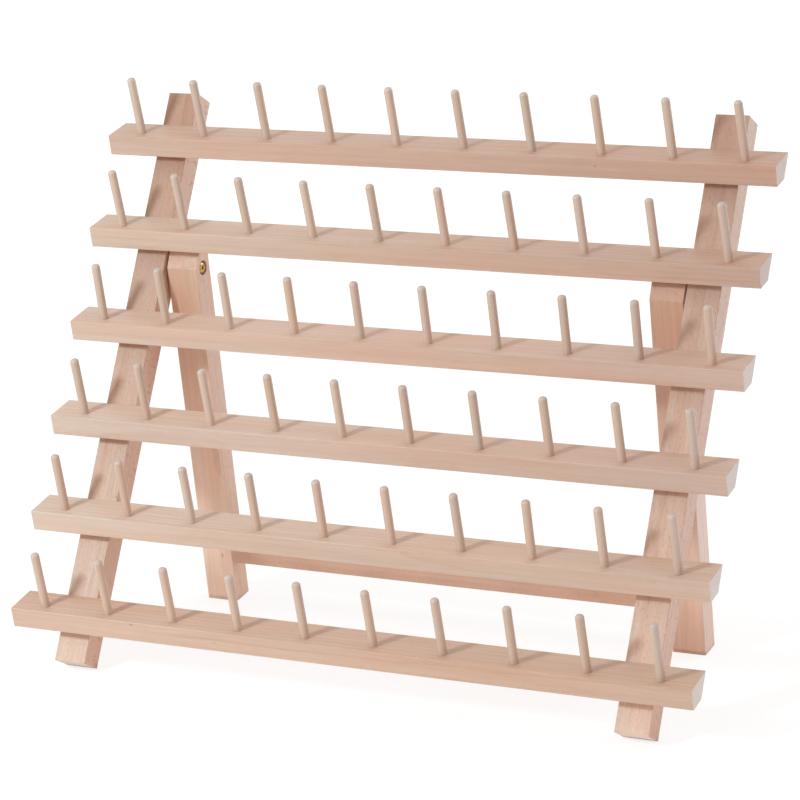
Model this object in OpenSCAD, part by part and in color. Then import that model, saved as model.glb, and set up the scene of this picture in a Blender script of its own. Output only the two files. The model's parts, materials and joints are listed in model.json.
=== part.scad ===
// Thread rack of beech: six bars of pegs on two leaning uprights, held up by a folding prop.
// Millimetres. X runs along the bars, the rack faces -Y, and it stands on Z = 0.
// The origin is on the floor, in the middle of the space that the rack takes up.

/* [Bars] */
// Length of each bar
bar_len = 400; // [340:5:460]
// Width of a bar's top face, from back edge to front edge
bar_top_w = 21; // [20:0.5:26]
// Thickness of a bar
bar_t = 11.5; // [10.5:0.5:14]
// Angle of the bevel sawn along a bar's back, off square, in degrees
bar_bevel = 40; // [34:1:44]
// Spacing of the bars along the uprights
row_pitch = 55.25; // [50:0.25:70]

/* [Pegs] */
// Number of pegs on each bar
peg_count = 10; // [6:1:12]
// Diameter of a peg
peg_d = 4.8; // [3.8:0.1:6]
// Length of a peg that stands out of its bar
peg_out = 33.5; // [20:0.5:42]
// Depth of the blind hole that takes a peg's tenon
peg_seat = 8; // [5:0.5:9]
// Distance of the pegs from a bar's top back edge
peg_back = 14.5; // [12:0.5:16]
// Distance of the outermost pegs from a bar's ends
peg_end = 18.65; // [12:0.05:24]
// Width of the shoulder by which a peg is wider than its tenon
peg_shoulder = 0.2; // [0.2:0.05:0.4]
// Rounding of a peg's tip
peg_round = 1.8; // [0.6:0.1:2.2]
// Least radius of the flat left on a peg's tip
tip_flat = 0.2; // [0.1:0.1:0.6]

/* [Uprights] */
// Width of an upright, along the bars
upright_w = 19; // [15:0.5:24]
// Depth of an upright, from front face to back face
upright_t = 15; // [12:0.5:20]
// Distance of an upright's outer side from the bars' ends
upright_inset = 24.5; // [16:0.5:34]
// Lean of the uprights back from straight up, in degrees
lean = 30; // [25:1:34]
// Height of the lowest bar's top back edge above an upright's foot end
low_bar_up = 36.7; // [30:0.1:60]
// Height of an upright's head above the top bar's back edge
head_up = 19.3; // [8:0.1:40]

/* [Prop] */
// Width of a prop leg, along the bars
leg_w = 19; // [14:0.5:24]
// Depth of a prop leg, from front face to back face
leg_t = 15; // [12:0.5:18]
// Angle between the open prop and the uprights, in degrees
open_angle = 36.5; // [35:0.5:46]
// Drop of the pivots below the second bar's lower back edge
pivot_drop = 10.9; // [9:0.1:16]
// Reach of a leg's bevelled top up behind the second bar
stop_reach = 4.25; // [2:0.25:9]
// Angle by which that bevel falls back from the bar below its upper end, in degrees
stop_slack = 4; // [0:0.5:8]
// Height of the rail
rail_h = 19; // [12:0.5:30]
// Depth of the rail, back from the legs' front faces
rail_t = 15; // [10:0.5:15]
// Height of the rail's lower edge above the legs' foot ends
rail_up = 24.8; // [10:0.2:80]

/* [Pivots] */
// Diameter of a pivot screw's shank
pivot_d = 4.2; // [3:0.1:5]
// Diameter of a pivot screw's round head
pivot_head_d = 7; // [6:0.1:9]
// Height of a pivot screw's round head
pivot_head_h = 2.6; // [1.6:0.1:3.6]
// Depth of the counterbore in which the head sits
counterbore_depth = 2.9; // [2.7:0.1:9]
// Room round the head in its counterbore
counterbore_room = 0.7; // [0.3:0.05:1.2]
// Length of a pivot screw inside its upright
pivot_bite = 14; // [8:0.5:14.5]
// Outer diameter of a pivot washer
washer_d = 9; // [8:0.5:14]
// Thickness of a pivot washer
washer_t = 1.2; // [0.8:0.1:3]

/* [Wood screws] */
// Diameter of a wood screw's shank
screw_d = 3.5; // [2.8:0.1:4.2]
// Diameter of a wood screw's flat head
screw_head_d = 7; // [6:0.1:8.4]
// Height of the straight edge of a flat head
screw_head_edge = 0.4; // [0.2:0.1:0.8]
// Length of the point of every screw
screw_point = 4; // [2:0.5:6]
// How far a bar's screws reach into the bar
bar_screw_bite = 10; // [7:0.5:11]
// Height of a bar's screws above its lower back edge
bar_screw_up = 3.5; // [3:0.1:4.5]
// How far the rail's screws reach into its ends
rail_screw_bite = 20; // [12:1:40]
// Depth of the wood screws' heads below the wood
screw_sunk = 0.3; // [0.1:0.1:1]
// Width of the arms of the cross in each head
cross_w = 1; // [0.6:0.1:1.4]
// Depth of the cross in each head
cross_depth = 1.2; // [0.6:0.1:1.4]

/* [Fits] */
// Room round a pivot screw in its leg, all round
turn_room = 0.08; // [0.03:0.01:0.1]
// Play beside each washer and under each pivot screw's head
side_play = 0.1; // [0.05:0.05:0.2]
// Gap between the upper ends of the open legs and the second bar's back
stop_gap = 0.2; // [0.1:0.05:0.4]
// Gap between the folded legs and the bars' backs
fold_gap = 0.8; // [0.1:0.1:1.5]
// Room round the pegs and the screws that are held in the wood
seat_room = 0.05; // [0.02:0.01:0.1]
// Width of the eased long edges of the wood
ease = 0.5; // [0.2:0.1:1]
// How much the sawn feet are rubbed away on the floor
foot_rub = 0.3; // [0.1:0.1:0.8]

/* [Hidden] */
$fn = 48;

left = -1;
right = 1;
rows = 6;
stop_row_number = 2;

// Places along the bars
peg_pitch = (bar_len - 2 * peg_end) / (peg_count - 1);
upright_x = bar_len / 2 - upright_inset - upright_w / 2;
pivot_gap = washer_t + 2 * side_play;
leg_x = upright_x - upright_w / 2 - pivot_gap - leg_w / 2;
leg_inner_x = leg_x - leg_w / 2;
leg_outer_x = leg_x + leg_w / 2;

// Places up the uprights, from the line where their front faces would meet the floor
foot_s = upright_t * tan(lean);
head_s = foot_s + low_bar_up + (rows - 1) * row_pitch + head_up;
bar_back_h = bar_t / cos(bar_bevel);
pivot_s = row_s(stop_row_number) - bar_back_h - pivot_drop;
pivot_depth = leg_t / 2 + fold_gap;

// The open prop
leg_angle = open_angle - lean;
pivot_y = pivot_depth * cos(lean) + pivot_s * sin(lean);
pivot_z = pivot_s * cos(lean) - pivot_depth * sin(lean);
stop_up = pivot_drop + stop_reach;
leg_up = stop_up * cos(open_angle) + (pivot_depth - stop_gap) * sin(open_angle);
leg_down = (pivot_z - leg_t / 2 * sin(leg_angle)) / cos(leg_angle);
rail_bottom = rail_up - leg_down;

// The pegs
tenon_r = peg_d / 2 - peg_shoulder;
tip_round = min(peg_round, peg_d / 2 - tip_flat);
peg_straight = peg_out - tip_round;

// The middle of the rack from front to back: the lowest pegs' tips against the uprights' heads
nod = bar_bevel - lean;
tip_y = face_y(-peg_back * cos(bar_bevel), row_s(rows) - peg_back * sin(bar_bevel))
    - sin(nod) * peg_straight - cos(nod) * (peg_d / 2 - tip_round) - tip_round;
edge_y = min([for (q = bar_outline()) face_y(q[0], row_s(rows) + q[1])]);
head_y = face_y(upright_t, head_s);
middle_y = (min(tip_y, edge_y) + head_y) / 2;

// Lengths of the screws, from the top of a flat head or the underside of a round one
bar_screw_len = upright_t - screw_sunk + bar_screw_bite;
rail_screw_len = leg_w - screw_sunk + rail_screw_bite;
pivot_len = leg_w - counterbore_depth + side_play + pivot_gap + pivot_bite;

// Share of a head's width that its cross takes, and share of a round head's height that is rounded
cross_share = 0.6;
crown_share = 0.6;

// More than any piece is long, for the saw cuts
beyond = 1000;
beech = [0.88, 0.76, 0.66];
dowel = [0.91, 0.81, 0.70];
brass = [0.76, 0.60, 0.30];
steel = [0.70, 0.70, 0.72];

// Height of a bar's top back edge up the uprights, with the top bar as row 1
function row_s(row) = foot_s + low_bar_up + (rows - row) * row_pitch;

// Where a point behind the uprights' front faces and up the uprights lies along Y
function face_y(behind, up) = behind * cos(lean) + up * sin(lean);

function toward(p, q, d) = p + (q - p) / norm(q - p) * d;

// An outline with a narrow flat in place of each corner
function eased(points) = [
    for (i = [0 : len(points) - 1], other = [-1, 1])
        toward(points[i], points[(i + other + len(points)) % len(points)], ease)
];

// A bar's outline from its top back edge, with its back flush on the uprights
function bar_outline() =
    let (
        top_front = [-bar_top_w * cos(bar_bevel), -bar_top_w * sin(bar_bevel)],
        down = [bar_t * sin(bar_bevel), -bar_t * cos(bar_bevel)]
    )
    eased([[0, 0], top_front, top_front + down, [0, -bar_back_h]]);

// The frame of the uprights: X, depth behind their front faces, height up them
module on_uprights() {
    translate([0, -middle_y, 0])
        rotate([-lean, 0, 0])
            children();
}

// The frame of the uprights, moved up to a bar's top back edge
module at_bar(row) {
    on_uprights()
        translate([0, 0, row_s(row)])
            children();
}

// The frame of the uprights, moved to the pivots
module at_pivot_height() {
    on_uprights()
        translate([0, pivot_depth, pivot_s])
            children();
}

// The frame of the open prop: X, depth behind the pivots, height above them
module on_prop() {
    translate([0, pivot_y - middle_y, pivot_z])
        rotate([leg_angle, 0, 0])
            children();
}

// Drawn outline turned to lie across X and run from x1 to x2
module run_x(x1, x2) {
    translate([x1, 0, 0])
        rotate([90, 0, 90])
            linear_extrude(x2 - x1)
                children();
}

// Squared wood with eased long edges that runs up Z
module stock(w, t, z1, z2) {
    translate([0, 0, z1])
        linear_extrude(z2 - z1)
            polygon(eased([[-w / 2, -t / 2], [w / 2, -t / 2], [w / 2, t / 2], [-w / 2, t / 2]]));
}

module below_floor() {
    translate([-beyond / 2, -beyond / 2, -beyond])
        cube(beyond);
}

// The cross cut into a screw's head, from the top of the head down
module driver_cross(reach) {
    for (turn = [0, 90])
        rotate([0, 0, turn])
            translate([-reach / 2, -cross_w / 2, -cross_depth])
                cube([reach, cross_w, 2 * cross_depth]);
}

// A flat-headed wood screw without its cross, its head's top at 0 and its point down:
// larger all round by the room that it is given, and carried up past its head
module flat_screw_form(long, room, past) {
    head_r = screw_head_d / 2 + room;
    shank_r = screw_d / 2 + room;
    rotate_extrude()
        polygon([
            [0, past], [head_r, past], [head_r, -screw_head_edge],
            [shank_r, shank_r - head_r - screw_head_edge],
            [shank_r, screw_point - long], [0, -long - room]
        ]);
}

module flat_screw(long) {
    difference() {
        flat_screw_form(long, 0, 0);
        driver_cross(cross_share * screw_head_d);
    }
}

module flat_screw_hole(long) {
    flat_screw_form(long, seat_room, 2 * screw_sunk);
}

// Where a bar's screw enters an upright from behind, its head's top at 0 and its point down
module at_bar_screw(side) {
    translate([side * upright_x, upright_t - screw_sunk, bar_screw_up - bar_back_h])
        rotate([-90, 0, 0])
            children();
}

// Where a leg's screw enters it at the height of the rail
module at_rail_screw(side) {
    translate([side * (leg_outer_x - screw_sunk), (rail_t - leg_t) / 2, rail_bottom + rail_h / 2])
        rotate([0, side * 90, 0])
            children();
}

// Where a pivot screw's head bears on its leg, with the screw's point outward
module at_pivot(side) {
    translate([side * (leg_inner_x + counterbore_depth - side_play), 0, 0])
        rotate([0, -side * 90, 0])
            children();
}

// An upright, drilled for the bars' screws and the pivot screw
module upright(side) {
    color(beech)
        difference() {
            on_uprights()
                translate([side * upright_x, upright_t / 2, 0])
                    stock(upright_w, upright_t, foot_s - foot_rub / cos(lean), head_s);
            for (row = [1 : rows])
                at_bar(row)
                    at_bar_screw(side)
                        flat_screw_hole(bar_screw_len);
            at_pivot_height()
                at_pivot(side)
                    pivot_screw_hole();
            below_floor();
        }
}

// What is drilled in an upright for its pivot screw
module pivot_screw_hole() {
    shank_r = pivot_d / 2 + seat_room;
    rotate_extrude()
        polygon([[0, 0], [shank_r, 0], [shank_r, screw_point - pivot_len], [0, -pivot_len - seat_room]]);
}

// Where a peg stands on its bar, with its length up Z
module at_peg(i) {
    translate([
        (i - (peg_count - 1) / 2) * peg_pitch,
        -peg_back * cos(bar_bevel),
        -peg_back * sin(bar_bevel)
    ])
        rotate([bar_bevel, 0, 0])
            children();
}

// A bar, drilled for its pegs and its two screws
module bar(row) {
    color(beech)
        at_bar(row)
            difference() {
                run_x(-bar_len / 2, bar_len / 2)
                    polygon(bar_outline());
                for (i = [0 : peg_count - 1])
                    at_peg(i)
                        translate([0, 0, -peg_seat])
                            cylinder(h = peg_seat + peg_out, r = tenon_r + seat_room);
                for (side = [left, right])
                    at_bar_screw(side)
                        flat_screw_hole(bar_screw_len);
            }
}

// One peg, turned with a rounded tip and a tenon whose shoulder stands on the bar
module peg() {
    rotate_extrude()
        union() {
            translate([0, -peg_seat])
                square([tenon_r, peg_seat + peg_straight]);
            square([peg_d / 2, peg_straight]);
            square([peg_d / 2 - tip_round, peg_out]);
            translate([peg_d / 2 - tip_round, peg_straight])
                intersection() {
                    circle(tip_round);
                    square(tip_round);
                }
        }
}

// The pegs of one bar
module pegs(row) {
    color(dowel)
        at_bar(row)
            for (i = [0 : peg_count - 1])
                at_peg(i)
                    peg();
}

// The screws that hold the bars to one upright, from behind
module bar_screws(side) {
    color(steel)
        for (row = [1 : rows])
            at_bar(row)
                at_bar_screw(side)
                    flat_screw(bar_screw_len);
}

// A prop leg, its top sawn to a bevel whose upper end stops at the second bar when the prop is open
module leg(side) {
    color(beech)
        difference() {
            on_prop()
                difference() {
                    translate([side * leg_x, 0, 0])
                        stock(leg_w, leg_t, -leg_down - foot_rub / cos(leg_angle), leg_up);
                    at_pivot(side)
                        pivot_bore();
                    at_rail_screw(side)
                        flat_screw_hole(rail_screw_len);
                }
            on_uprights()
                translate([0, stop_gap, pivot_s + stop_up])
                    rotate([stop_slack, 0, 0])
                        translate([-beyond / 2, -beyond, -beyond / 2])
                            cube(beyond);
            below_floor();
        }
}

// The stepped bore in a leg: the pivot screw's shank, and the counterbore for its head
module pivot_bore() {
    translate([0, 0, -leg_w])
        cylinder(h = 2 * leg_w, r = pivot_d / 2 + turn_room);
    translate([0, 0, -side_play])
        cylinder(h = counterbore_depth + leg_w, r = pivot_head_d / 2 + counterbore_room);
}

// The rail between the legs
module leg_rail() {
    color(beech)
        on_prop()
            difference() {
                run_x(-leg_inner_x, leg_inner_x)
                    translate([-leg_t / 2, rail_bottom])
                        polygon(eased([[0, 0], [rail_t, 0], [rail_t, rail_h], [0, rail_h]]));
                for (side = [left, right])
                    at_rail_screw(side)
                        flat_screw_hole(rail_screw_len);
            }
}

// The screws through the legs into the rail's ends
module rail_screws() {
    color(steel)
        on_prop()
            for (side = [left, right])
                at_rail_screw(side)
                    flat_screw(rail_screw_len);
}

// The washer between a leg and its upright
module pivot_washer(side) {
    from_seat = leg_w - counterbore_depth + 2 * side_play + washer_t;
    color(steel)
        at_pivot_height()
            at_pivot(side)
                translate([0, 0, -from_seat])
                    difference() {
                        cylinder(h = washer_t, r = washer_d / 2);
                        translate([0, 0, -washer_t])
                            cylinder(h = 3 * washer_t, r = pivot_d / 2 + turn_room);
                    }
}

// A pivot screw with a round head, held in the upright
module pivot_screw(side) {
    head_r = pivot_head_d / 2;
    crown = crown_share * pivot_head_h;
    color(brass)
        at_pivot_height()
            at_pivot(side)
                difference() {
                    rotate_extrude()
                        polygon([
                            [0, -pivot_len], [pivot_d / 2, screw_point - pivot_len], [pivot_d / 2, 0],
                            [head_r, 0],
                            for (a = [0 : 15 : 90])
                                [head_r - crown + crown * cos(a), pivot_head_h - crown + crown * sin(a)],
                            [0, pivot_head_h]
                        ]);
                    translate([0, 0, pivot_head_h])
                        driver_cross(cross_share * pivot_head_d);
                }
}

upright(left);  // upright_left
upright(right);  // upright_right
bar(1);  // bar_1
bar(2);  // bar_2
bar(3);  // bar_3
bar(4);  // bar_4
bar(5);  // bar_5
bar(6);  // bar_6
pegs(1);  // pegs_1
pegs(2);  // pegs_2
pegs(3);  // pegs_3
pegs(4);  // pegs_4
pegs(5);  // pegs_5
pegs(6);  // pegs_6
bar_screws(left);  // bar_screws_left
bar_screws(right);  // bar_screws_right
leg(left);  // leg_left
leg(right);  // leg_right
leg_rail();
rail_screws();
pivot_washer(left);  // pivot_washer_left
pivot_washer(right);  // pivot_washer_right
pivot_screw(left);  // pivot_screw_left
pivot_screw(right);  // pivot_screw_right
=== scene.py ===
import json
import math
import random
import bmesh
import bpy
from mathutils import Matrix, Vector


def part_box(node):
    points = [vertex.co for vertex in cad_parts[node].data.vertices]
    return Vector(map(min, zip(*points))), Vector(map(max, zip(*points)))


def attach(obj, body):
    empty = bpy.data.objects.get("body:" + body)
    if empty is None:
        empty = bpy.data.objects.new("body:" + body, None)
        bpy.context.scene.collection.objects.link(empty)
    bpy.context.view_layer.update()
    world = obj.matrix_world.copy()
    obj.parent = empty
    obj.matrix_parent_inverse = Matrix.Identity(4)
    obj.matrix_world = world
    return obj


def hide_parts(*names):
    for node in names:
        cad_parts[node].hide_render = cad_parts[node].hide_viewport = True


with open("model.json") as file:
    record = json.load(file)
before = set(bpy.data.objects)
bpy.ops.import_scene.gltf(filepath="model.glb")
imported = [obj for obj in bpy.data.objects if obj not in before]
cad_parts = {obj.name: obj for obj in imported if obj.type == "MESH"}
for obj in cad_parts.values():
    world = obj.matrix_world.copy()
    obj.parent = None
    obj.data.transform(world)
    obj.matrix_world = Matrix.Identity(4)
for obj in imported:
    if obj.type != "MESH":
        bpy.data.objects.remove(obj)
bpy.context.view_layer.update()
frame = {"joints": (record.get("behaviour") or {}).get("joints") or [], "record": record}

# The two uprights are planed beech sticks that lean back on their sawn feet. Each is drilled and
# countersunk from behind for the six screws that hold the bars, and its edges are sanded.
MOUNTS = {mount["name"]: mount for mount in frame["record"]["mounts"]}
LEAN = math.asin(-MOUNTS["upright_back_left"]["axis"][2])
UPRIGHT_DEPTH = 0.015
SANDED = 0.0004         # radius of the sanded long edges
SAWN = 0.00025          # radius of the sawn ends' edges
SHARP = math.radians(40)  # the least turn of an edge at a sawn end
IN_LINE = 0.999         # how squarely an edge or a face has to lie to an axis to be taken
FOOT_RUB = 0.0003       # of the feet, rubbed away on the floor
LEFT, RIGHT = -1, 1
SIDES = {"left": LEFT, "right": RIGHT}

low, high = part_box("upright_right")
UPRIGHT_WIDTH = high.x - low.x
UPRIGHT_X = (low.x + high.x) / 2
HEAD_UP = high.z / math.cos(LEAN)
FOOT_UP = UPRIGHT_DEPTH * math.tan(LEAN) - FOOT_RUB / math.cos(LEAN)
FACE_Y = high.y - UPRIGHT_DEPTH * math.cos(LEAN) - HEAD_UP * math.sin(LEAN)

# The bars' places, which their screws share: how far up the uprights each top back edge lies
EASE = 0.0005           # of the bars' edges in the CAD model, which lowers their boxes a little
BAR_THICK = 0.0115
peg_axis = Vector(MOUNTS["peg_row_1_left"]["axis"])
NOD = math.atan2(-peg_axis.y, peg_axis.z)
BEVEL = LEAN + NOD
BAR_BACK = BAR_THICK / math.cos(BEVEL)
ROWS = range(1, 7)
ROW_UP = {row: (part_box(f"bar_{row}")[1].z + EASE * math.sin(NOD)) / math.cos(LEAN) for row in ROWS}

# The screws that hold the bars
SCREW_UP = 0.0035       # above a bar's lower back edge
SCREW_SUNK = 0.0003     # of the head below the wood
SCREW_HEAD = 0.0035     # radius
SCREW_SHANK = 0.00175   # radius
SCREW_EDGE = 0.0004     # height of the head's rim
SCREW_POINT = 0.004     # length
SCREW_TIP = 0.0001      # radius
BAR_BITE = 0.010        # of the screw in the bar
WOOD_ROOM = 0.00005     # round what sits in a drilled hole
BAR_SCREW = UPRIGHT_DEPTH - SCREW_SUNK + BAR_BITE


def deselect():
    bpy.ops.object.select_all(action="DESELECT")


def only(piece):
    deselect()
    piece.select_set(True)
    bpy.context.view_layer.objects.active = piece


def named(name):
    """Names the piece that was just added."""
    piece = bpy.context.object
    piece.name = name
    piece.data.name = name
    return piece


def block(name, low, high):
    """Squared stock between two corners, in a frame of its own."""
    low, high = Vector(low), Vector(high)
    deselect()
    bpy.ops.mesh.primitive_cube_add(size=1, location=(low + high) / 2, scale=high - low)
    bpy.ops.object.transform_apply(location=True, rotation=False, scale=True)
    return named(name)


def saw(piece, point, away):
    """Saws a piece through a point and drops the side that ``away`` points to."""
    only(piece)
    bpy.ops.object.mode_set(mode="EDIT")
    bpy.ops.mesh.select_all(action="SELECT")
    bpy.ops.mesh.bisect(plane_co=point, plane_no=away, use_fill=True, clear_outer=True)
    bpy.ops.object.mode_set(mode="OBJECT")


def sand(piece, along):
    """Rounds the edges that run along an axis of the piece, then hardly rounds its sawn ends."""
    only(piece)
    bpy.ops.object.mode_set(mode="EDIT")
    bpy.ops.mesh.select_all(action="DESELECT")
    bpy.ops.mesh.select_mode(type="EDGE")
    mesh = bmesh.from_edit_mesh(piece.data)
    for edge in mesh.edges:
        run = (edge.verts[1].co - edge.verts[0].co).normalized()
        edge.select_set(abs(run[along]) > IN_LINE)
    bmesh.update_edit_mesh(piece.data)
    bpy.ops.mesh.bevel(offset=SANDED, segments=3, affect="EDGES")
    bpy.ops.object.mode_set(mode="OBJECT")
    ends = piece.modifiers.new("Sawn ends", "BEVEL")
    ends.width = SAWN
    ends.segments = 2
    ends.limit_method = "ANGLE"
    ends.angle_limit = SHARP
    bpy.ops.object.modifier_apply(modifier=ends.name)


def turned(name, outline, sides=32):
    """A solid turned about Z, through an outline of (radius, height) points from one end to the other."""
    radius, height = outline[0]
    deselect()
    bpy.ops.mesh.primitive_circle_add(vertices=sides, radius=radius, fill_type="NGON",
                                      location=(0, 0, height))
    bpy.ops.object.transform_apply(location=True, rotation=False, scale=False)
    piece = named(name)
    bpy.ops.object.mode_set(mode="EDIT")
    bpy.ops.mesh.select_all(action="SELECT")
    for next_radius, next_height in outline[1:]:
        step = (0, 0, next_height - height)
        bpy.ops.mesh.extrude_region_move(TRANSFORM_OT_translate={"value": step})
        grow = next_radius / radius
        bpy.ops.transform.resize(value=(grow, grow, 1), center_override=(0, 0, next_height))
        radius, height = next_radius, next_height
    bpy.ops.mesh.select_all(action="SELECT")
    bpy.ops.mesh.normals_make_consistent(inside=False)
    bpy.ops.object.mode_set(mode="OBJECT")
    return piece


def put(piece, place):
    """Sets a piece in its place, and leaves the place in its mesh."""
    only(piece)
    piece.matrix_world = place @ piece.matrix_world
    bpy.ops.object.transform_apply(location=True, rotation=True, scale=True)
    return piece


def copy_of(piece, name):
    twin = piece.copy()
    twin.data = piece.data.copy()
    twin.name = name
    twin.data.name = name
    bpy.context.collection.objects.link(twin)
    return twin


def cut(piece, *cutters):
    """Takes the cutters' shapes out of a piece."""
    for cutter in cutters:
        only(piece)
        hole = piece.modifiers.new("Hole", "BOOLEAN")
        hole.operation = "DIFFERENCE"
        hole.solver = "EXACT"
        hole.object = cutter
        bpy.ops.object.modifier_apply(modifier=hole.name)
        bpy.data.objects.remove(cutter)


def screw_outline(length, room=0.0, past=0.0):
    """A flat-headed screw from its point up, its head's top at 0 height."""
    head = SCREW_HEAD + room
    shank = SCREW_SHANK + room
    return [
        (SCREW_TIP, -length - room),
        (shank, SCREW_POINT - length),
        (shank, shank - head - SCREW_EDGE),
        (head, -SCREW_EDGE),
        (head, past),
    ]


def screw_hole(length, place):
    """What the drill and the countersink take out for a flat-headed screw."""
    return put(turned("hole", screw_outline(length, WOOD_ROOM, 2 * SCREW_SUNK)), place)


def on_uprights(behind=0.0, up=0.0, x=0.0):
    """The frame of the uprights: X, depth behind their front faces, height up them."""
    lean = Matrix.Rotation(-LEAN, 4, "X")
    return Matrix.Translation((0, FACE_Y, 0)) @ lean @ Matrix.Translation((x, behind, up))


def at_bar_screw(side, row):
    """Where a bar's screw enters an upright from behind, its head's top at the origin."""
    drop = BAR_BACK - SCREW_UP
    place = on_uprights(UPRIGHT_DEPTH - SCREW_SUNK, ROW_UP[row] - drop, side * UPRIGHT_X)
    return place @ Matrix.Rotation(-math.pi / 2, 4, "X")


def stands_for(piece, node, body, material):
    """Hands a finished piece over: the frame's node that it shows, its body and its finish."""
    piece.data.materials.clear()
    piece.data.materials.append(material)
    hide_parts(node)
    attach(piece, body)


# How the figure of the wood is laid in a piece, with its tints, which carry the wood's tone and painted
# light and shade
LOG_APART = 1.3         # from one piece's wood to the next, along the grain
SIDE_FACE = 0.8         # the least X of a side face's normal


def in_log(point, along, heart, log):
    """Where a point of a piece lay in its log: along the grain, and across from the heart."""
    across = (point[(along + 1) % 3] + heart[0], point[(along + 2) % 3] + heart[1])
    return (point[along] + LOG_APART * log, *across)


def lay_grain(piece, place, along, heart, log, tints=((1, 1, 1),), side_tints=(), rings=0.2, rays=0.2,
              sawn_above=0.8):
    """Stores where each point lay in its log, so that the wood's figure runs through the piece.

    ``along`` is the axis of the piece that the grain follows, ``heart`` is how far off the heart of
    the tree lay, and ``log`` sets pieces apart. ``tints`` multiply the colour at the low and the
    high end: the wood's own tone, and on the uprights, bars and legs also painted light and shade
    that grade along the piece. ``side_tints`` do the same on the faces that look left or right, and
    are painted light and shade, lighter or darker by how light falls on those faces. ``rings`` and
    ``rays`` are how strongly its growth rings and rays show. A face shows end grain where it cuts
    the grain more squarely than ``sawn_above``, from 0 to 1.
    """
    mesh = piece.data
    back = place.inverted()
    points = [back @ vertex.co for vertex in mesh.vertices]
    low = min(point[along] for point in points)
    high = max(point[along] for point in points)
    grain = []
    for point in points:
        grain.extend(in_log(point, along, heart, log))
    mesh.attributes.new("grain", "FLOAT_VECTOR", "POINT").data.foreach_set("vector", grain)
    figure = [rings, rays, 0] * len(points)
    mesh.attributes.new("figure", "FLOAT_VECTOR", "POINT").data.foreach_set("vector", figure)

    run = place.to_3x3().col[along].normalized()
    tint, sawn = [], []
    for face in mesh.polygons:
        sawn.append(float(abs(face.normal @ run) > sawn_above))
        # Faces that look left or right take the side tints: painted light and shade on those faces
        pair = side_tints if side_tints and abs(face.normal.x) > SIDE_FACE else tints
        for index in face.vertices:
            share = (points[index][along] - low) / (high - low)
            tint.extend(Vector(pair[0]).lerp(Vector(pair[-1]), share))
    mesh.attributes.new("tint", "FLOAT_VECTOR", "CORNER").data.foreach_set("vector", tint)
    mesh.attributes.new("sawn", "FLOAT", "FACE").data.foreach_set("value", sawn)


def srgb(red, green, blue):
    """A colour as it looks on screen, from 0 to 255, in the shader's linear values."""
    def linear(value):
        value /= 255
        return value / 12.92 if value <= 0.04045 else ((value + 0.055) / 1.055) ** 2.4
    return (linear(red), linear(green), linear(blue), 1)


def add_node(tree, kind, inputs=None, **settings):
    """Adds a shader node. Each input is a plain value or another node's output."""
    node = tree.nodes.new(kind)
    for key, value in settings.items():
        setattr(node, key, value)
    for key, value in (inputs or {}).items():
        if isinstance(value, bpy.types.NodeSocket):
            tree.links.new(value, node.inputs[key])
        else:
            node.inputs[key].default_value = value
    return node


def maths(tree, operation, *values):
    node = add_node(tree, "ShaderNodeMath", dict(enumerate(values)), operation=operation)
    return node.outputs[0]


def stretched_noise(tree, point, scale, detail=2.0, roughness=0.5):
    """Noise with its own scale along and across the grain, from 0 to 1."""
    scaled = add_node(tree, "ShaderNodeVectorMath", {0: point, 1: scale}, operation="MULTIPLY")
    inputs = {"Vector": scaled.outputs[0], "Scale": 1.0, "Detail": detail, "Roughness": roughness}
    return add_node(tree, "ShaderNodeTexNoise", inputs).outputs["Fac"]


def graded(tree, value, low, high, to_low=0.0, to_high=1.0):
    inputs = {"Value": value, "From Min": low, "From Max": high, "To Min": to_low, "To Max": to_high}
    return add_node(tree, "ShaderNodeMapRange", inputs, interpolation_type="SMOOTHSTEP").outputs["Result"]


def mixed(tree, share, first, second, blend="MIX"):
    inputs = {0: share, 6: first, 7: second}
    node = add_node(tree, "ShaderNodeMix", inputs, data_type="RGBA", blend_type=blend)
    return node.outputs[2]


# What all beech here shows
BLUSH = (1.03, 0.96, 0.92, 1)  # of the redder clouds in the wood
END_SHARE = 0.7         # how far sawn ends take the colour of end grain
GRAIN_DEEP = 0.00006    # of the fibres and pores
KNOT = srgb(172, 124, 98)
KNOT_DRAWN = (0.6, 1, 1)  # how a knot's measures shrink, the grain's run first
KNOT_SHARE = 0.75       # how dark it is at its middle


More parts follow.
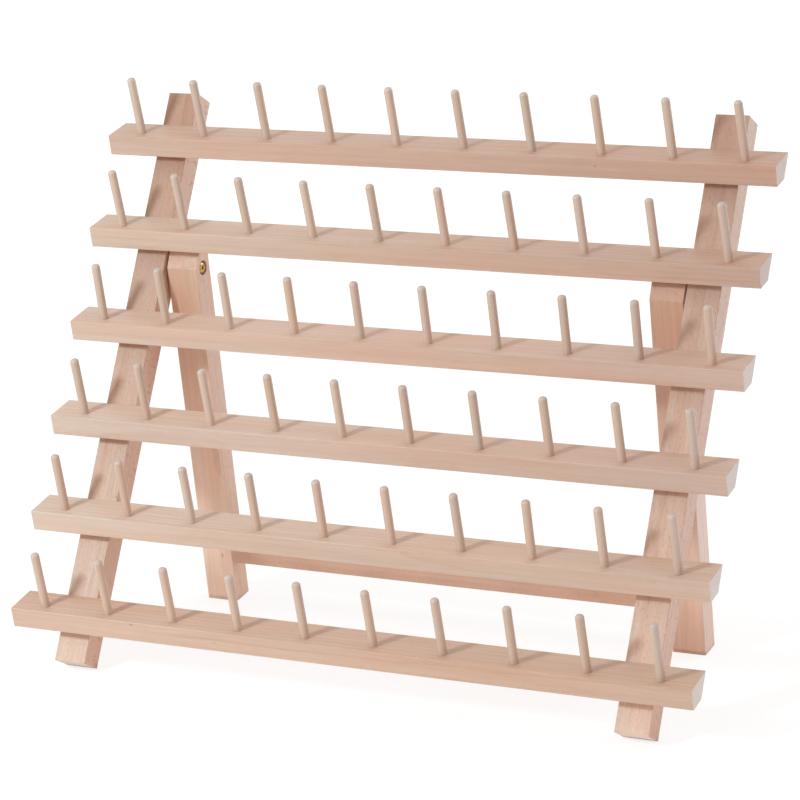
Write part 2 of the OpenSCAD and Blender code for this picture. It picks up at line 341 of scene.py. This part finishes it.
def beech(name, pale, deep, fleck, end, gloss, ring=0.0034):
    """Bare sanded beech: growth rings, long streaks, pores and the small dark flecks of the rays."""
    material = bpy.data.materials.new(name)
    material.use_nodes = True
    tree = material.node_tree
    shader = tree.nodes["Principled BSDF"]
    point = add_node(tree, "ShaderNodeAttribute", attribute_name="grain").outputs["Vector"]
    tint = add_node(tree, "ShaderNodeAttribute", attribute_name="tint").outputs["Color"]
    sawn = add_node(tree, "ShaderNodeAttribute", attribute_name="sawn").outputs["Fac"]
    figure = add_node(tree, "ShaderNodeAttribute", attribute_name="figure").outputs["Vector"]
    strength = add_node(tree, "ShaderNodeSeparateXYZ", {0: figure}).outputs

    # Growth rings lie round the heart, waver, and end in a thin darker line
    across = add_node(tree, "ShaderNodeSeparateXYZ", {0: point}).outputs
    radius = maths(tree, "SQRT", maths(tree, "ADD", maths(tree, "POWER", across["Y"], 2.0),
                                       maths(tree, "POWER", across["Z"], 2.0)))
    waver = stretched_noise(tree, point, (5, 22, 22), 2.0)
    turn = maths(tree, "ADD", maths(tree, "DIVIDE", radius, ring), maths(tree, "MULTIPLY", waver, 2.6))
    late = maths(tree, "POWER", maths(tree, "FRACT", turn), 4.0)
    fade = graded(tree, stretched_noise(tree, point, (9, 60, 60), 2.0), 0.35, 0.65, 0.15, 1.0)
    rings = maths(tree, "MULTIPLY", maths(tree, "MULTIPLY", late, fade), strength["X"])

    # Streaks and fibres run far along the grain, pores are short, and the colour is cloudy
    streaks = graded(tree, stretched_noise(tree, point, (9, 430, 430), 4.0, 0.6), 0.30, 0.70)
    fibres = graded(tree, stretched_noise(tree, point, (90, 2600, 2600), 2.0), 0.30, 0.70)
    pores = graded(tree, stretched_noise(tree, point, (420, 5200, 5200), 1.0), 0.52, 0.74)
    clouds = graded(tree, stretched_noise(tree, point, (5, 30, 30), 3.0), 0.28, 0.72)
    shade = rings
    for layer, depth in ((streaks, 0.26), (clouds, 0.24), (fibres, 0.16), (pores, 0.14)):
        shade = maths(tree, "ADD", shade, maths(tree, "MULTIPLY", layer, depth))
    shade = maths(tree, "MINIMUM", shade, 1.0)
    wood = mixed(tree, shade, pale, deep)
    blush = graded(tree, stretched_noise(tree, point, (7, 75, 75), 3.0), 0.38, 0.66)
    wood = mixed(tree, blush, wood, BLUSH, "MULTIPLY")

    # A ray is a thin upright sheet that points at the heart, cut to a short dark line on the face
    angle = maths(tree, "ARCTAN2", across["Z"], across["Y"])
    sheet = add_node(tree, "ShaderNodeCombineXYZ", {
        "X": maths(tree, "DIVIDE", across["X"], 0.0022),
        "Y": maths(tree, "MULTIPLY", angle, 170.0),
        "Z": maths(tree, "DIVIDE", radius, 0.005),
    }).outputs[0]
    rays = graded(tree, stretched_noise(tree, sheet, (1, 1, 1), 1.0), 0.56, 0.72)
    wood = mixed(tree, maths(tree, "MULTIPLY", rays, strength["Y"]), wood, fleck)
    wood = mixed(tree, maths(tree, "MULTIPLY", sawn, END_SHARE), wood, end)
    # The tint attribute multiplies the wood's colour: its own tone, and on the uprights, bars and legs
    # also painted light and shade
    tinted = mixed(tree, 1.0, wood, tint, "MULTIPLY")
    tinted.node.name = "Tinted"
    tree.links.new(tinted, shader.inputs["Base Color"])

    rough = maths(tree, "ADD", maths(tree, "MULTIPLY", streaks, 0.08), gloss)
    tree.links.new(rough, shader.inputs["Roughness"])
    shader.inputs["IOR"].default_value = 1.52
    height = maths(tree, "ADD", fibres, maths(tree, "MULTIPLY", pores, -0.8))
    bump = add_node(tree, "ShaderNodeBump", {"Height": height, "Strength": 0.3, "Distance": GRAIN_DEEP})
    tree.links.new(bump.outputs[0], shader.inputs["Normal"])
    return material


def pin_knot(wood, radius, *place):
    """Darkens a wood at a pin knot, drawn out a little along the grain, at its place in the log."""
    tree = wood.node_tree
    point = add_node(tree, "ShaderNodeAttribute", attribute_name="grain").outputs["Vector"]
    off = add_node(tree, "ShaderNodeVectorMath", {0: point, 1: in_log(*place)}, operation="SUBTRACT")
    squeezed = add_node(tree, "ShaderNodeVectorMath", {0: off.outputs[0], 1: KNOT_DRAWN},
                        operation="MULTIPLY")
    away = add_node(tree, "ShaderNodeVectorMath", {0: squeezed.outputs[0]}, operation="LENGTH")
    share = graded(tree, away.outputs["Value"], 0.3 * radius, 1.3 * radius, KNOT_SHARE, 0.0)
    bare = tree.nodes["Tinted"].inputs[6]
    tree.links.new(mixed(tree, share, bare.links[0].from_socket, KNOT), bare)


# The finish of the uprights, the bars, the legs and the rail
planed_beech = beech("planed_beech", pale=srgb(222, 191, 172), deep=srgb(196, 157, 134), fleck=KNOT,
                     end=srgb(216, 197, 187), gloss=0.40)

# The tints of the uprights at the foot and at the head: partly the wood's own tone, partly painted light
# and shade, which make the feet lighter and the heads darker
UPRIGHT_TONE_AND_PAINTED_LIGHT = {
    LEFT: ((0.95, 0.98, 0.96), (0.69, 0.59, 0.53)),
    RIGHT: ((1.09, 1.14, 1.14), (0.75, 0.66, 0.62)),
}
# Painted light and shade on the uprights' left and right sides: darker at the foot, lighter at the head
UPRIGHT_SIDE_PAINTED_LIGHT = ((0.93, 0.84, 0.82), (1.07, 1.06, 1.06))
UPRIGHT_HEARTS = {side: (side * 0.012, 0.07) for side in SIDES.values()}
for name, side in SIDES.items():
    upright = block(f"upright_{name}_wood", (-UPRIGHT_WIDTH / 2, -UPRIGHT_DEPTH / 2, FOOT_UP),
                    (UPRIGHT_WIDTH / 2, UPRIGHT_DEPTH / 2, HEAD_UP))
    sand(upright, along=2)
    place = on_uprights(behind=UPRIGHT_DEPTH / 2, x=side * UPRIGHT_X)
    put(upright, place)
    saw(upright, (0, 0, 0), (0, 0, -1))
    cut(upright, *[screw_hole(BAR_SCREW, at_bar_screw(side, row)) for row in ROWS])
    lay_grain(upright, place, 2, heart=UPRIGHT_HEARTS[side], log=side, tints=UPRIGHT_TONE_AND_PAINTED_LIGHT[side],
              side_tints=UPRIGHT_SIDE_PAINTED_LIGHT, rings=0.35, rays=0.45)
    stands_for(upright, f"upright_{name}", "rack", planed_beech)
pin_knot(planed_beech, 0.0006, (0.0086, -0.0075, 0.1031), 2, UPRIGHT_HEARTS[LEFT], LEFT)


# Six bars of planed beech carry the pegs. Each has a bevel sawn along its back that stands it
# nearly level on the leaning uprights, ten blind holes in its top and two screw holes in its back.
BAR_WIDTH = 0.021
PEG_BACK = 0.0145       # of the pegs from the bar's top back edge
PEG_SEAT = 0.008        # depth of their holes
PEGS = 10
PEG = MOUNTS["peg_row_1_left"]["dims"]["r_mm"] / 1000  # radius
TENON = PEG - 0.0002    # radius
PEG_X = MOUNTS["peg_row_1_right"]["pos_m"][0]
BAR_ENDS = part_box("bar_1")[1].x


def on_bar(row):
    """The frame of a bar: X, depth behind its top back edge, height above its top face."""
    return on_uprights(up=ROW_UP[row]) @ Matrix.Rotation(BEVEL, 4, "X")


def peg_places():
    """Where the pegs stand in the frame of a bar."""
    return [Matrix.Translation((PEG_X * (2 * i / (PEGS - 1) - 1), -PEG_BACK, 0)) for i in range(PEGS)]


plain_bar = block("bar", (-BAR_ENDS, -BAR_WIDTH, -BAR_THICK), (BAR_ENDS, 0, 0))
saw(plain_bar, (0, 0, 0), (0, math.cos(BEVEL), -math.sin(BEVEL)))
sand(plain_bar, along=0)
bar_frame = on_bar(1).inverted()
drills = [put(turned("hole", [(TENON + WOOD_ROOM, -PEG_SEAT), (TENON + WOOD_ROOM, PEG_SEAT)]), at)
          for at in peg_places()]
drills += [screw_hole(BAR_SCREW, bar_frame @ at_bar_screw(side, 1)) for side in SIDES.values()]
cut(plain_bar, *drills)

BAR_LOG = 10
BAR_HEARTS = {
    1: (0.075, 0.016),
    2: (0.060, -0.022),
    3: (0.090, 0.030),
    4: (-0.060, 0.020),
    5: (0.048, 0.004),
    6: (0.052, -0.006),
}
BAR_WOOD_AND_LIGHT = {
    # the tints of each bar at its left and right and on its ends, partly the wood's own tone and partly
    # painted light and shade, mostly lighter at the left; then how its figure shows
    1: ((0.92, 0.94, 0.93), (0.85, 0.77, 0.73), (0.97, 0.96, 0.96), 0.20, 0.08),
    2: ((0.98, 1.07, 1.08), (0.87, 0.85, 0.84), (0.92, 0.89, 0.90), 0.30, 0.06),
    3: ((1.02, 1.10, 1.14), (0.96, 0.96, 0.97), (1.03, 1.06, 1.08), 0.14, 0.05),
    4: ((1.00, 1.12, 1.17), (0.91, 0.93, 0.94), (0.98, 1.00, 1.02), 0.18, 0.05),
    5: ((1.03, 1.17, 1.21), (0.96, 1.00, 1.00), (0.98, 1.00, 1.02), 0.36, 0.06),
    6: ((0.95, 0.95, 0.93), (0.92, 0.95, 0.93), (0.95, 0.95, 0.95), 0.36, 0.08),
}
for row, (left_tone_and_light, right_tone_and_light, end_tone_and_light, rings, rays) in BAR_WOOD_AND_LIGHT.items():
    bar = put(copy_of(plain_bar, f"bar_{row}_wood"), on_bar(row))
    lay_grain(bar, on_bar(row), 0, heart=BAR_HEARTS[row], log=BAR_LOG + row, tints=(left_tone_and_light, right_tone_and_light),
              side_tints=(end_tone_and_light,), rings=rings, rays=rays)
    stands_for(bar, f"bar_{row}", "rack", planed_beech)
bpy.data.objects.remove(plain_bar)

# The bars with a pin knot, its radius, and its place in the bar's frame
for row, radius, place in (
    (1, 0.0005, (0.0988, -0.0210, -0.0045)),
    (6, 0.0006, (-0.1235, -0.0210, -0.0014)),
    (6, 0.0005, (-0.0729, -0.0210, -0.0064)),
):
    pin_knot(planed_beech, radius, place, 0, BAR_HEARTS[row], BAR_LOG + row)


# Sixty pegs are turned from thin beech dowel, with rounded tips and a tenon below a narrow shoulder.
# They are glued in the bars' blind holes. Each row leans a little forward and to the left of its
# holes, by its own degrees in PEG_LEAN, and no two pegs stand quite alike.
PEG_OUT = 0.0335
TIP = 0.0018            # rounding of the tip
TIP_STEPS = 5
PEG_TILT = 0.5          # how much each leans by chance, in degrees
PEG_SINK = 0.0001       # of the shoulder in the bar, so that a leaning peg shows no gap
PEG_LOG = 20
PEG_END_GRAIN = 0.45    # how squarely a tip's face cuts the grain where end grain starts to show
PEG_LEAN = {
    # degrees forward, degrees to the left
    1: (1.3, 2.0),
    2: (2.2, 2.0),
    3: (1.5, -0.5),
    4: (0, 1.4),
    5: (-0.3, 1.4),
    6: (1.9, 0.9),
}
random.seed(60)


def rounded(radius, top, rounding, steps):
    """The outline of a rounded end, from just inside its side up to its top."""
    points = []
    for i in range(1, steps + 1):
        bend = i / steps * math.pi / 2
        points.append((radius - rounding + rounding * math.cos(bend),
                       top - rounding + rounding * math.sin(bend)))
    return points


def smooth(piece, degrees=30):
    """Shades a turned piece smooth, apart from the edges that turn by more than some degrees."""
    only(piece)
    bpy.ops.object.shade_smooth_by_angle(angle=math.radians(degrees))


peg_outline = [(TENON, -PEG_SEAT), (TENON, 0), (PEG, 0), (PEG, PEG_OUT - TIP)]
plain_peg = turned("peg", peg_outline + rounded(PEG, PEG_OUT, TIP, TIP_STEPS), sides=24)
smooth(plain_peg, degrees=35)

dowel = beech("turned_dowel", pale=srgb(214, 190, 172), deep=srgb(197, 168, 148),
              fleck=srgb(184, 142, 116), end=srgb(204, 190, 182), gloss=0.24)


def join(name, parts):
    """Makes one piece of several."""
    only(parts[0])
    for part in parts:
        part.select_set(True)
    bpy.ops.object.join()
    return named(name)


for row, (forward, left) in PEG_LEAN.items():
    pegs = []
    for i, at in enumerate(peg_places()):
        lean = Matrix.Rotation(math.radians(forward + random.uniform(-PEG_TILT, PEG_TILT)), 4, "X")
        lean = lean @ Matrix.Rotation(-math.radians(left + random.uniform(-PEG_TILT, PEG_TILT)), 4, "Y")
        turn = Matrix.Rotation(random.uniform(0, 2 * math.pi), 4, "Z")
        place = on_bar(row) @ at @ Matrix.Translation((0, 0, -PEG_SINK)) @ lean @ turn
        peg = put(copy_of(plain_peg, "peg"), place)
        shade = random.uniform(0.95, 1.03)
        warm = random.uniform(0.98, 1.02)
        heart = (random.uniform(0.02, 0.08), random.uniform(-0.04, 0.04))
        lay_grain(peg, place, 2, heart=heart, log=PEG_LOG + row + i / PEGS, rings=0.15, rays=0.05,
                  sawn_above=PEG_END_GRAIN, tints=((shade, shade / warm, shade / warm ** 2),))
        pegs.append(peg)
    row_of_pegs = join(f"pegs_{row}_dowel", pegs)
    stands_for(row_of_pegs, f"pegs_{row}", "rack", dowel)
bpy.data.objects.remove(plain_peg)


# Twelve zinc-plated wood screws come through the uprights from behind and hold the bars. Their
# flat heads lie just under the wood, and each has a pressed cross for the driver.
CROSS_REACH = 0.0042    # from end to end of an arm
CROSS_WIDTH = 0.0010
CROSS_DEPTH = 0.0014
CROSS_TAPER = (0.45, 0.7, 1)  # of an arm's length and width at its bottom


def cut_cross(head):
    """Presses the driver's cross into a head whose top is at 0 height, narrower at its bottom."""
    for turn in (0, math.pi / 2):
        arm = block("arm", (-CROSS_REACH / 2, -CROSS_WIDTH / 2, -CROSS_DEPTH),
                    (CROSS_REACH / 2, CROSS_WIDTH / 2, CROSS_DEPTH))
        bpy.ops.object.mode_set(mode="EDIT")
        bpy.ops.mesh.select_all(action="DESELECT")
        bpy.ops.mesh.select_mode(type="FACE")
        mesh = bmesh.from_edit_mesh(arm.data)
        for face in mesh.faces:
            face.select_set(face.normal.z < -IN_LINE)
        bmesh.update_edit_mesh(arm.data)
        bpy.ops.transform.resize(value=CROSS_TAPER, center_override=(0, 0, -CROSS_DEPTH))
        bpy.ops.object.mode_set(mode="OBJECT")
        cut(head, put(arm, Matrix.Rotation(turn, 4, "Z")))


def bright_metal(name, colour, worn, roughness):
    """Plated or turned metal with faint scratches and slightly uneven gloss."""
    material = bpy.data.materials.new(name)
    material.use_nodes = True
    tree = material.node_tree
    shader = tree.nodes["Principled BSDF"]
    shader.inputs["Metallic"].default_value = 1.0
    point = add_node(tree, "ShaderNodeTexCoord").outputs["Object"]
    blotches = graded(tree, stretched_noise(tree, point, (700, 700, 700), 3.0), 0.35, 0.70)
    scratches = graded(tree, stretched_noise(tree, point, (900, 9000, 9000), 2.0), 0.45, 0.75)
    tree.links.new(mixed(tree, blotches, colour, worn), shader.inputs["Base Color"])
    rough = maths(tree, "ADD", maths(tree, "MULTIPLY", blotches, 0.14), roughness)
    tree.links.new(rough, shader.inputs["Roughness"])
    bump = add_node(tree, "ShaderNodeBump", {"Height": scratches, "Strength": 0.2, "Distance": 0.00003})
    tree.links.new(bump.outputs[0], shader.inputs["Normal"])
    return material


zinc = bright_metal("zinc_plate", srgb(196, 198, 202), srgb(158, 160, 166), 0.26)


def flat_screw(name, length):
    """A flat-headed wood screw with its cross, its head's top at the origin."""
    screw = turned(name, screw_outline(length))
    cut_cross(screw)
    smooth(screw)
    return screw


plain_screw = flat_screw("screw", BAR_SCREW)
for name, side in SIDES.items():
    screws = []
    for row in ROWS:
        turn = Matrix.Rotation(random.uniform(0, math.pi / 2), 4, "Z")
        screws.append(put(copy_of(plain_screw, "screw"), at_bar_screw(side, row) @ turn))
    stands_for(join(f"bar_screws_{name}_zinc", screws), f"bar_screws_{name}", "rack", zinc)
bpy.data.objects.remove(plain_screw)


# The two prop legs are planed beech. Each is sawn to a slant at the top front, whose upper end
# stops at the second bar, and has a stepped bore for its pivot screw and a hole for a rail screw.
HINGE = frame["joints"][0]
PIVOT = Vector(HINGE["pos_m"])
LEG_ANGLE = math.radians(HINGE["range_deg"][1]) - LEAN
LEG_DEPTH = 0.015
RAIL_HIGH = 0.019
RAIL_UP = 0.0248        # of the rail's lower edge above the legs' foot ends
STOP_GAP = 0.0002       # between a leg's upper end and the second bar
STOP_REACH = 0.00425    # of a leg's upper end above the bar's lower back edge
STOP_SLACK = math.radians(4)  # by which the slant falls back from the bar
PIVOT_SHANK = 0.0021    # radius
PIVOT_HEAD = 0.0035     # radius
BORE_ROOM = 0.00008     # round the screw's shank, which turns in it
COUNTERBORE = 0.0029    # depth
COUNTERBORE_ROOM = 0.0007  # round the screw's head
SIDE_PLAY = 0.0001      # on either side of what turns
RAIL_BITE = 0.020       # of the rail's screws in its ends

low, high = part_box("leg_right")
LEG_INNER = low.x
LEG_OUTER = high.x
LEG_WIDTH = LEG_OUTER - LEG_INNER
LEG_X = (LEG_INNER + LEG_OUTER) / 2
LEG_UP = (high.z - PIVOT.z - LEG_DEPTH / 2 * math.sin(LEG_ANGLE)) / math.cos(LEG_ANGLE)
LEG_DOWN = (PIVOT.z - LEG_DEPTH / 2 * math.sin(LEG_ANGLE)) / math.cos(LEG_ANGLE)
RAIL_LOW = RAIL_UP - LEG_DOWN
RAIL_SCREW = LEG_WIDTH - SCREW_SUNK + RAIL_BITE


def on_prop(x=0.0, behind=0.0, up=0.0):
    """The frame of the open prop: X, depth behind the pivots, height above them."""
    swing = Matrix.Rotation(LEG_ANGLE, 4, "X")
    return Matrix.Translation(PIVOT) @ swing @ Matrix.Translation((x, behind, up))


def at_rail_screw(side):
    """Where a rail's screw enters its leg, its head's top at the origin."""
    place = on_prop(side * (LEG_OUTER - SCREW_SUNK), 0, RAIL_LOW + RAIL_HIGH / 2)
    return place @ Matrix.Rotation(side * math.pi / 2, 4, "Y")


def at_pivot(side):
    """Where a pivot screw's head bears on its leg, with the screw's point outward."""
    place = on_prop(side * (LEG_INNER + COUNTERBORE - SIDE_PLAY))
    return place @ Matrix.Rotation(-side * math.pi / 2, 4, "Y")


def pivot_bore(side):
    """The stepped bore of a leg, wider on the inner side for the screw's head."""
    shank = PIVOT_SHANK + BORE_ROOM
    head = PIVOT_HEAD + COUNTERBORE_ROOM
    outline = [(shank, -LEG_WIDTH), (shank, -SIDE_PLAY), (head, -SIDE_PLAY), (head, 2 * COUNTERBORE)]
    return put(turned("bore", outline), at_pivot(side))


# The tints of each leg at the foot and at the head: partly the wood's own tone, partly painted light and
# shade, which make the feet lighter, the left foot most
LEG_TONE_AND_PAINTED_LIGHT = {
    LEFT: ((1.33, 1.45, 1.50), (0.98, 0.93, 0.87)),
    RIGHT: ((1.06, 1.06, 1.06), (0.90, 0.79, 0.71)),
}
# Painted cool light on the legs' left and right sides, at the foot and at the head
LEG_SIDE_PAINTED_LIGHT = {
    LEFT: ((1.05, 1.07, 1.08), (1.14, 1.17, 1.23)),
    RIGHT: ((1.12, 1.20, 1.31), (1.05, 1.08, 1.12)),
}
LEG_HEARTS = {side: (side * 0.010, 0.06) for side in SIDES.values()}
LEG_LOG = 30
LEG_END = -LEG_DOWN - FOOT_RUB / math.cos(LEG_ANGLE)
stop = on_uprights(STOP_GAP, ROW_UP[2] - BAR_BACK + STOP_REACH) @ Matrix.Rotation(STOP_SLACK, 4, "X")
for name, side in SIDES.items():
    place = on_prop(x=side * LEG_X)
    leg = block(f"leg_{name}_wood", (-LEG_WIDTH / 2, -LEG_DEPTH / 2, LEG_END),
                (LEG_WIDTH / 2, LEG_DEPTH / 2, LEG_UP))
    slant = place.inverted() @ stop
    saw(leg, slant.translation, -slant.to_3x3().col[1])
    sand(leg, along=2)
    put(leg, place)
    saw(leg, (0, 0, 0), (0, 0, -1))
    cut(leg, pivot_bore(side), screw_hole(RAIL_SCREW, at_rail_screw(side)))
    lay_grain(leg, place, 2, heart=LEG_HEARTS[side], log=LEG_LOG + side, tints=LEG_TONE_AND_PAINTED_LIGHT[side],
              side_tints=LEG_SIDE_PAINTED_LIGHT[side], rings=0.3, rays=0.15)
    stands_for(leg, f"leg_{name}", "prop", planed_beech)
pin_knot(planed_beech, 0.0009, (0.0034, -0.0075, -0.1758), 2, LEG_HEARTS[LEFT], LEG_LOG + LEFT)


# A planed beech rail joins the legs near their feet, screwed through them into its ends.
# It keeps them apart and takes the twist of the rack.
RAIL_DEPTH = 0.015
RAIL_TINT = (0.90, 0.84, 0.81)
RAIL_HEART = (0.05, -0.015)
RAIL_LOG = 33

rail = block("leg_rail_wood", (-LEG_INNER, -LEG_DEPTH / 2, RAIL_LOW),
             (LEG_INNER, RAIL_DEPTH - LEG_DEPTH / 2, RAIL_LOW + RAIL_HIGH))
sand(rail, along=0)
put(rail, on_prop())
cut(rail, *[screw_hole(RAIL_SCREW, at_rail_screw(side)) for side in SIDES.values()])
lay_grain(rail, on_prop(), 0, heart=RAIL_HEART, log=RAIL_LOG, tints=(RAIL_TINT,), rays=0.1)
stands_for(rail, "leg_rail", "prop", planed_beech)


# Two longer screws of the same kind hold the rail between the legs. Their heads show in the
# outer sides of the legs, just under the wood.
rail_screws = []
for side in SIDES.values():
    turn = Matrix.Rotation(random.uniform(0, math.pi / 2), 4, "Z")
    rail_screws.append(put(flat_screw("screw", RAIL_SCREW), at_rail_screw(side) @ turn))
stands_for(join("rail_screws_zinc", rail_screws), "rail_screws", "prop", zinc)


# A stamped zinc-plated washer fills the gap between each leg and its upright, so that the wood
# doesn't rub when the prop swings.
WASHER = 0.0045         # radius
WASHER_THICK = 0.0012
WASHER_RIM = 0.00025    # rounding
WASHER_HOLE = PIVOT_SHANK + BORE_ROOM
WASHER_SEAT = COUNTERBORE - LEG_WIDTH - 2 * SIDE_PLAY - WASHER_THICK

for name, side in SIDES.items():
    washer = turned(f"pivot_washer_{name}_zinc", [
        (WASHER - WASHER_RIM, WASHER_SEAT),
        (WASHER, WASHER_SEAT + WASHER_RIM),
        (WASHER, WASHER_SEAT + WASHER_THICK - WASHER_RIM),
        (WASHER - WASHER_RIM, WASHER_SEAT + WASHER_THICK),
    ], sides=48)
    cut(washer, turned("hole", [(WASHER_HOLE, WASHER_SEAT - WASHER_THICK),
                                (WASHER_HOLE, WASHER_SEAT + 2 * WASHER_THICK)]))
    put(washer, at_pivot(side))
    smooth(washer)
    stands_for(washer, f"pivot_washer_{name}", "rack", zinc)


# Two brass screws with round heads are the pivots. Each sits in its leg's counterbore, turns
# freely in the leg and bites in the upright.
PIVOT_HEAD_HIGH = 0.0026
CROWN = 0.6 * PIVOT_HEAD_HIGH
CROWN_STEPS = 6
PIVOT_BITE = 0.014      # in the upright
PIVOT_LENGTH = LEG_WIDTH - COUNTERBORE + SIDE_PLAY + (WASHER_THICK + 2 * SIDE_PLAY) + PIVOT_BITE
PIVOT_TURN = 0.5        # of the crosses, in radians

brass = bright_metal("turned_brass", srgb(206, 170, 96), srgb(170, 130, 66), 0.22)
pivot_outline = [
    (SCREW_TIP, -PIVOT_LENGTH),
    (PIVOT_SHANK, SCREW_POINT - PIVOT_LENGTH),
    (PIVOT_SHANK, 0),
    (PIVOT_HEAD, 0),
    (PIVOT_HEAD, PIVOT_HEAD_HIGH - CROWN),
] + rounded(PIVOT_HEAD, PIVOT_HEAD_HIGH, CROWN, CROWN_STEPS)
pivot_outline = [(radius, height - PIVOT_HEAD_HIGH) for radius, height in pivot_outline]
for name, side in SIDES.items():
    screw = turned(f"pivot_screw_{name}_brass", pivot_outline)
    cut_cross(screw)
    raised = at_pivot(side) @ Matrix.Translation((0, 0, PIVOT_HEAD_HIGH))
    put(screw, raised @ Matrix.Rotation(PIVOT_TURN, 4, "Z"))
    smooth(screw)
    stands_for(screw, f"pivot_screw_{name}", "rack", brass)


# The rack stands on a wide sheet of white card, which runs out of view on all sides. The lens
# sees the card white, with the rack's faint soft shadow on it.
CARD = 12.0             # side of the sheet
CARD_BACK = 3.0         # of its middle behind the rack
CARD_WHITE = (0.80, 0.80, 0.80, 1)
SHADE_WHITE = (0.28, 0.28, 0.28, 1)  # the share of what the lens sees that takes the shadow
GLOW_FROM, GLOW_TO = 0.35, 1.4  # how far out the rest of it starts and ends to grow
GLOW_NEAR, GLOW_FAR = 0.79, 0.92
deselect()
bpy.ops.mesh.primitive_plane_add(size=CARD, location=(0, CARD_BACK, 0))
bpy.ops.object.transform_apply(location=True)
card = named("white_card")
white_card = bpy.data.materials.new("white_card")
white_card.use_nodes = True
tree = white_card.node_tree
tree.nodes.clear()


def seen_directly(tree):
    """1 for what the lens sees, straight or in a gloss or through glass."""
    ray = add_node(tree, "ShaderNodeLightPath").outputs
    either = maths(tree, "MAXIMUM", ray["Is Camera Ray"], ray["Is Glossy Ray"])
    return maths(tree, "MAXIMUM", either, ray["Is Transmission Ray"])


card_diffuse = add_node(tree, "ShaderNodeBsdfDiffuse", {"Color": CARD_WHITE})
shadow_part = add_node(tree, "ShaderNodeBsdfDiffuse", {"Color": SHADE_WHITE})
spot = add_node(tree, "ShaderNodeTexCoord").outputs["Object"]
away = add_node(tree, "ShaderNodeVectorMath", {0: spot}, operation="LENGTH").outputs["Value"]
white = graded(tree, away, GLOW_FROM, GLOW_TO, GLOW_NEAR, GLOW_FAR)
glow = add_node(tree, "ShaderNodeEmission", {"Color": (1, 1, 1, 1), "Strength": white})
bright = add_node(tree, "ShaderNodeAddShader", {0: shadow_part.outputs[0], 1: glow.outputs[0]})
surface = add_node(tree, "ShaderNodeMixShader", {0: seen_directly(tree), 1: card_diffuse.outputs[0],
                                                 2: bright.outputs[0]})
add_node(tree, "ShaderNodeOutputMaterial", {"Surface": surface.outputs[0]})
card.data.materials.append(white_card)


# The rack stands in a tent of white cloth, which lights it evenly. A cool lamp at the front
# left gives the soft shadows, others stand behind and above, and the table below shines up.
RACK_MIDDLE = (0, 0, 0.15)
TENT = (0.58, 0.53, 0.51, 1)
LAMP_OFF = 0.002        # of the flat lamps above the table


def soft_lamp(name, toward, distance, size, watts, colour, aim=RACK_MIDDLE):
    """A round lamp that faces a point from some way off toward one side."""
    data = bpy.data.lights.new(name, "AREA")
    data.shape = "DISK"
    data.size = size
    data.energy = watts
    data.color = colour
    lamp = bpy.data.objects.new(name, data)
    away = Vector(toward).normalized()
    facing = away.to_track_quat("Z", "Y").to_matrix().to_4x4()
    lamp.matrix_world = Matrix.Translation(Vector(aim) + away * distance) @ facing
    lamp.visible_camera = False
    bpy.context.scene.collection.objects.link(lamp)
    return lamp


for name, toward, distance, size, watts, colour in (
    ("key", (-0.48, -0.80, 0.50), 1.3, 0.20, 7.6, (0.82, 0.94, 1.0)),
    ("low_left", (-0.62, -0.78, 0.0), 0.65, 0.28, 0.25, (0.66, 0.90, 1.0)),
    ("behind", (0.5, 0.8, 0.35), 1.2, 0.8, 4.4, (0.70, 0.92, 1.0)),
    ("above", (0, -0.1, 1), 1.2, 0.8, 2.2, (0.85, 0.97, 1.0)),
):
    soft_lamp(name, toward, distance, size, watts, colour)
for name, x, y, size, watts, colour in (
    ("under", 0, 0.05, 0.6, 0.28, (1.0, 0.84, 0.75)),
    ("beside", 0.45, 0, 0.5, 0.55, (0.50, 0.75, 1.0)),
):
    lamp = soft_lamp(name, (0, 0, -1), LAMP_OFF, size, watts, colour, aim=(x, y, 2 * LAMP_OFF))
    lamp.visible_glossy = False

studio = bpy.data.worlds.new("studio")
bpy.context.scene.world = studio
studio.use_nodes = True
tree = studio.node_tree
tree.nodes.clear()
tent = mixed(tree, seen_directly(tree), TENT, (1, 1, 1, 1))
sky = add_node(tree, "ShaderNodeBackground", {"Color": tent, "Strength": 1.0})
add_node(tree, "ShaderNodeOutputWorld", {"Surface": sky.outputs[0]})
bpy.context.scene.view_settings.view_transform = "Standard"


# The camera stands to the right, a little above the rack, and leans over slightly.
AZIMUTH = math.radians(26.11)
ELEVATION = math.radians(15.38)
ROLL = math.radians(-2.62)
DISTANCE = 1.65375
LENS = 141.4            # in mm
FILM = 36.0             # width of the frame, in mm
AIM_RIGHT = 0.0240      # of the rack's middle, across the view
AIM = Vector((0, -0.051975, 0.1595))

camera_data = bpy.data.cameras.new("camera")
camera_data.sensor_width = FILM
camera_data.lens = LENS
camera = bpy.data.objects.new("camera", camera_data)
bpy.context.scene.collection.objects.link(camera)
back = Vector((math.sin(AZIMUTH) * math.cos(ELEVATION), -math.cos(AZIMUTH) * math.cos(ELEVATION),
               math.sin(ELEVATION)))
across = Vector((math.cos(AZIMUTH), math.sin(AZIMUTH), 0))
target = across * AIM_RIGHT + AIM
turn = Matrix.Rotation(AZIMUTH, 4, "Z") @ Matrix.Rotation(math.pi / 2 - ELEVATION, 4, "X")
camera.matrix_world = Matrix.Translation(target + back * DISTANCE) @ turn @ Matrix.Rotation(ROLL, 4, "Z")
bpy.context.scene.camera = camera

bpy.context.view_layer.update()
